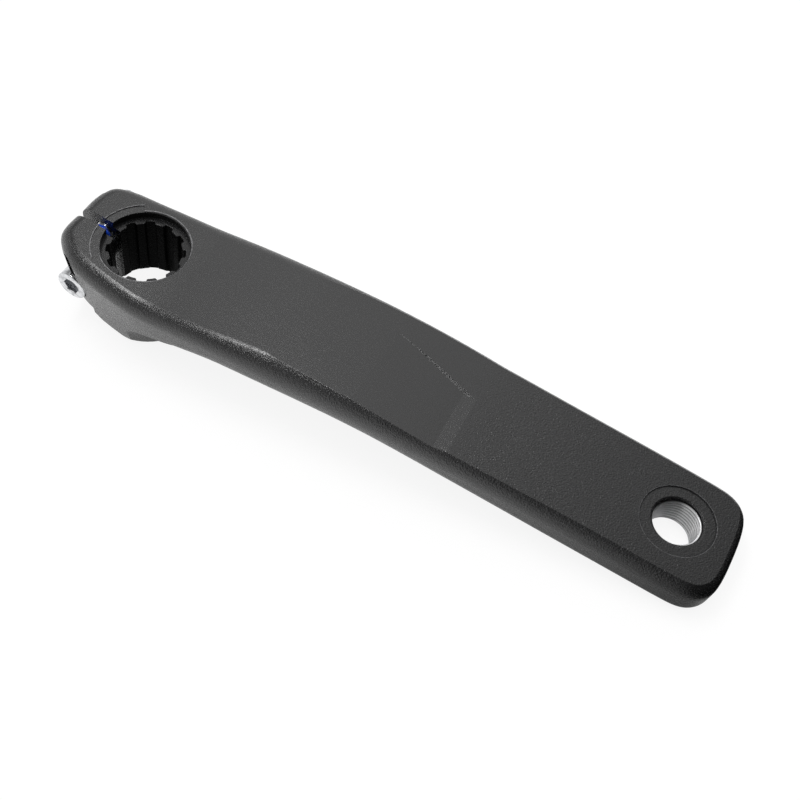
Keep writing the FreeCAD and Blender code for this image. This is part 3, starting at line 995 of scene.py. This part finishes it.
@dataclass(frozen=True)
class Studio:
    """White floor under the arm, a room that is white around and dim overhead, softboxes.

    The floor's places are in metres, and the ways to parts of the room are unit vectors.
    """

    floor_half: float = 0.36
    floor_middle: tuple[float, float] = (0.083, 0.0)
    foot_height_mm: float = 0.05    # points this near the lowest one are the hub's foot
    toe_from_mm: float = 40.0       # and the arm's other foot is further along than this
    paper: float = 0.90         # share of the light that the floor throws back
    paper_seen: float = 0.15    # the part of it that carries the shadow to the eye
    paper_glow: float = 0.88
    paper_mirrored: float = 0.45
    gloss_glow: float = 0.74
    end: Step = Step(0.188, 0.198)      # along X: painted shade, the floor is dark in gloss past the arm
    painted_dim_along: Step = Step(0.09, 0.25)  # and painted shade dims it in gloss in front of the arm towards the pedal end
    # painted shade across the floor in front of the arm
    painted_dim_across: Step = Step(-0.018, -0.008, 1.0, 0.0)
    hub_radius: float = 0.014   # painted shade in gloss on the paper inside the hub, where little light gets
    hub_painted_shade: float = 0.85
    wall: float = 1.08          # brightness of the room near the floor
    ceiling: float = 0.37
    wall_top: float = 0.08      # heights on the unit sphere
    ceiling_from: float = 0.50
    far_side: Step = Step(-0.2, 0.8, 1.0, 0.6)  # the room is dimmer past the pedal end
    flag: tuple[float, float, float] = (0.85, -0.45, 0.25)    # way to a black cloth
    flag_edge: Step = Step(0.42, 0.60, 1.0, 0.06)
    lights: tuple[Softbox, ...] = (
        Softbox("softbox_strip", (-0.405, 0.085, 0.91), 0.80, (0.11, 0.38), 14.0,
                along=(-0.38, 0.86, -0.30)),
        Softbox("softbox_back", (-0.30, 0.62, 0.72), 0.90, (0.85, 0.75), 0.62),
        Softbox("fill_overhead", (0.0, 0.0, 1.0), 1.00, (1.0, 1.0), 1.2, glare=False),
    )

    def floor(self, arm: bpy.types.Object) -> bpy.types.Object:
        """Lays the floor under the arm, which rests on its hub and its pedal end.

        Args:
            arm: the forging's object.

        Returns:
            The floor.
        """
        points = [v.co for v in arm.data.vertices]
        lowest = min(p.z for p in points)
        foot = max((p for p in points if p.z < lowest + self.foot_height_mm * MM),
                   key=lambda p: p.x)
        slope = min((p.z - foot.z) / (p.x - foot.x) for p in points
                    if p.x > foot.x + self.toe_from_mm * MM)
        mesh = bpy.data.meshes.new("floor")
        middle_x, middle_y = self.floor_middle
        corners = []
        for sx, sy in ((-1, -1), (1, -1), (1, 1), (-1, 1)):
            x, y = middle_x + sx * self.floor_half, middle_y + sy * self.floor_half
            corners.append((x, y, foot.z + slope * (x - foot.x)))
        mesh.from_pydata(corners, [], [(0, 1, 2, 3)])
        floor = bpy.data.objects.new("floor", mesh)
        bpy.context.scene.collection.objects.link(floor)
        mesh.materials.append(self._floor_finish())
        log.info("floor: rests at %.2f degrees", math.degrees(math.atan(slope)))
        return floor

    def _floor_painted_shade(self, tree: bpy.types.NodeTree) -> bpy.types.Node:
        """Painted shade on the floor, seen in gloss, for the light that the arm and the cloth
        keep off it.

        Args:
            tree: the floor's material tree.

        Returns:
            A node that gives 0 on the bright floor and 1 where it is black.
        """
        place = add_node(tree, "ShaderNodeTexCoord").outputs["Object"]
        axes = add_node(tree, "ShaderNodeSeparateXYZ", (place,)).outputs
        along, across, end = (add_node(tree, "ShaderNodeMapRange", step.of(axis), **Step.SMOOTH)
                              for step, axis in ((self.painted_dim_along, axes[0]),
                                                 (self.painted_dim_across, axes[1]),
                                                 (self.end, axes[0])))
        front = add_node(tree, "ShaderNodeMath", (along, across), operation="MULTIPLY")
        inside = add_node(tree, "ShaderNodeMath",
                          (distance(tree, axes[0], axes[1]), self.hub_radius),
                          operation="LESS_THAN")
        hub = add_node(tree, "ShaderNodeMath", (inside, self.hub_painted_shade), operation="MULTIPLY")
        dark = add_node(tree, "ShaderNodeMath", (front, end), operation="MAXIMUM")
        return add_node(tree, "ShaderNodeMath", (dark, hub), operation="MAXIMUM")

    def _floor_finish(self) -> bpy.types.Material:
        """White paper, which glows a little to the eye, so that it is white with a shadow.

        Returns:
            The material of the floor.
        """
        material, tree, output = new_material("white paper floor")
        path = add_node(tree, "ShaderNodeLightPath").outputs
        seen = add_node(tree, "ShaderNodeMath",
                        (path["Is Camera Ray"], path["Is Transmission Ray"]),
                        operation="MAXIMUM")
        mirrored = path["Is Glossy Ray"]
        # painted shade: in gloss the floor is darker past the arm, in front of it and inside the
        # hub
        bright = add_node(tree, "ShaderNodeMath", (1.0, self._floor_painted_shade(tree)),
                          operation="SUBTRACT")
        shown = add_node(tree, "ShaderNodeMath", (seen, self.paper - self.paper_seen),
                         operation="MULTIPLY")
        white = add_node(tree, "ShaderNodeMath", (self.paper, shown), operation="SUBTRACT")
        in_gloss = add_node(tree, "ShaderNodeMath", (bright, self.paper_mirrored),
                            operation="MULTIPLY")
        lost = add_node(tree, "ShaderNodeMath", (self.paper, in_gloss), operation="SUBTRACT")
        lost = add_node(tree, "ShaderNodeMath", (mirrored, lost), operation="MULTIPLY")
        white = add_node(tree, "ShaderNodeMath", (white, lost), operation="SUBTRACT")
        to_eye = add_node(tree, "ShaderNodeMath", (seen, self.paper_glow), operation="MULTIPLY")
        gloss = add_node(tree, "ShaderNodeMath", (bright, self.gloss_glow),
                         operation="MULTIPLY")
        gloss = add_node(tree, "ShaderNodeMath", (mirrored, gloss), operation="MULTIPLY")
        shine = add_node(tree, "ShaderNodeMath", (to_eye, gloss), operation="ADD")
        sheet = add_node(tree, "ShaderNodeBsdfDiffuse", {"Color": white})
        glow = add_node(tree, "ShaderNodeEmission", {"Strength": shine})
        both = add_node(tree, "ShaderNodeAddShader", (sheet, glow))
        tree.links.new(both.outputs[0], output.inputs["Surface"])
        return material

    def room(self) -> None:
        """White walls down to the floor, and a dim ceiling that the edges reflect."""
        world = bpy.data.worlds.new("studio")
        bpy.context.scene.world = world
        world.use_nodes = True
        tree = world.node_tree
        tree.nodes.clear()
        way = add_node(tree, "ShaderNodeTexCoord").outputs["Generated"]
        axes = add_node(tree, "ShaderNodeSeparateXYZ", (way,)).outputs
        overhead = add_node(tree, "ShaderNodeMapRange",
                            (axes[2], self.wall_top, self.ceiling_from, self.wall,
                             self.ceiling))
        far = add_node(tree, "ShaderNodeMapRange", self.far_side.of(axes[0]), **Step.SMOOTH)
        shade = add_node(tree, "ShaderNodeMath", (overhead, far), operation="MULTIPLY")
        towards = add_node(tree, "ShaderNodeVectorMath", (way, self.flag),
                           operation="DOT_PRODUCT")
        flag = add_node(tree, "ShaderNodeMapRange", self.flag_edge.of(towards), **Step.SMOOTH)
        shade = add_node(tree, "ShaderNodeMath", (shade, flag), operation="MULTIPLY")
        path = add_node(tree, "ShaderNodeLightPath").outputs
        seen = add_node(tree, "ShaderNodeMath",
                        (path["Is Camera Ray"], path["Is Transmission Ray"]),
                        operation="MAXIMUM")
        shade = add_node(tree, "ShaderNodeMath", (shade, seen), operation="MAXIMUM")
        glow = add_node(tree, "ShaderNodeBackground", {"Color": (1.0, 1.0, 1.0, 1.0),
                                                       "Strength": shade})
        add_node(tree, "ShaderNodeOutputWorld", {"Surface": glow})

    def build(self, arm: bpy.types.Object) -> None:
        """Sets up the room, the floor and the lights.

        Args:
            arm: the forging's object.
        """
        self.room()
        self.floor(arm)
        for light in self.lights:
            light.build()
        bpy.context.scene.view_settings.view_transform = "Standard"


def clear_start_scene() -> None:
    """Removes what Blender's start file holds besides the frame."""
    kept = set(frame["nodes"].values()) | set(frame["bodies"].values())
    for other in [o for o in bpy.context.scene.objects if o not in kept]:
        bpy.data.objects.remove(other, do_unlink=True)


def main() -> None:
    """Dresses the arm, builds the bolts and the pedal thread, and sets up the studio."""
    logging.basicConfig(level=logging.INFO, format="%(name)s: %(message)s")
    clear_start_scene()
    arm = Forging().dress()
    threads = ThreadTree()
    plain = ZincPlate()
    locked = ZincPlate(name="bright zinc plated steel with thread lock", lock="#2a62e6")
    PinchBolt("pinch_screw_outer", "pinch_bolt_outer", -6.2, 1, locked).build(threads)
    PinchBolt("pinch_screw_inner", "pinch_bolt_inner", -15.6, -1, plain).build(threads)
    PedalThread().build(threads)
    Studio().build(arm)
    Viewpoint().build()


if __name__ == "__main__":
    main()
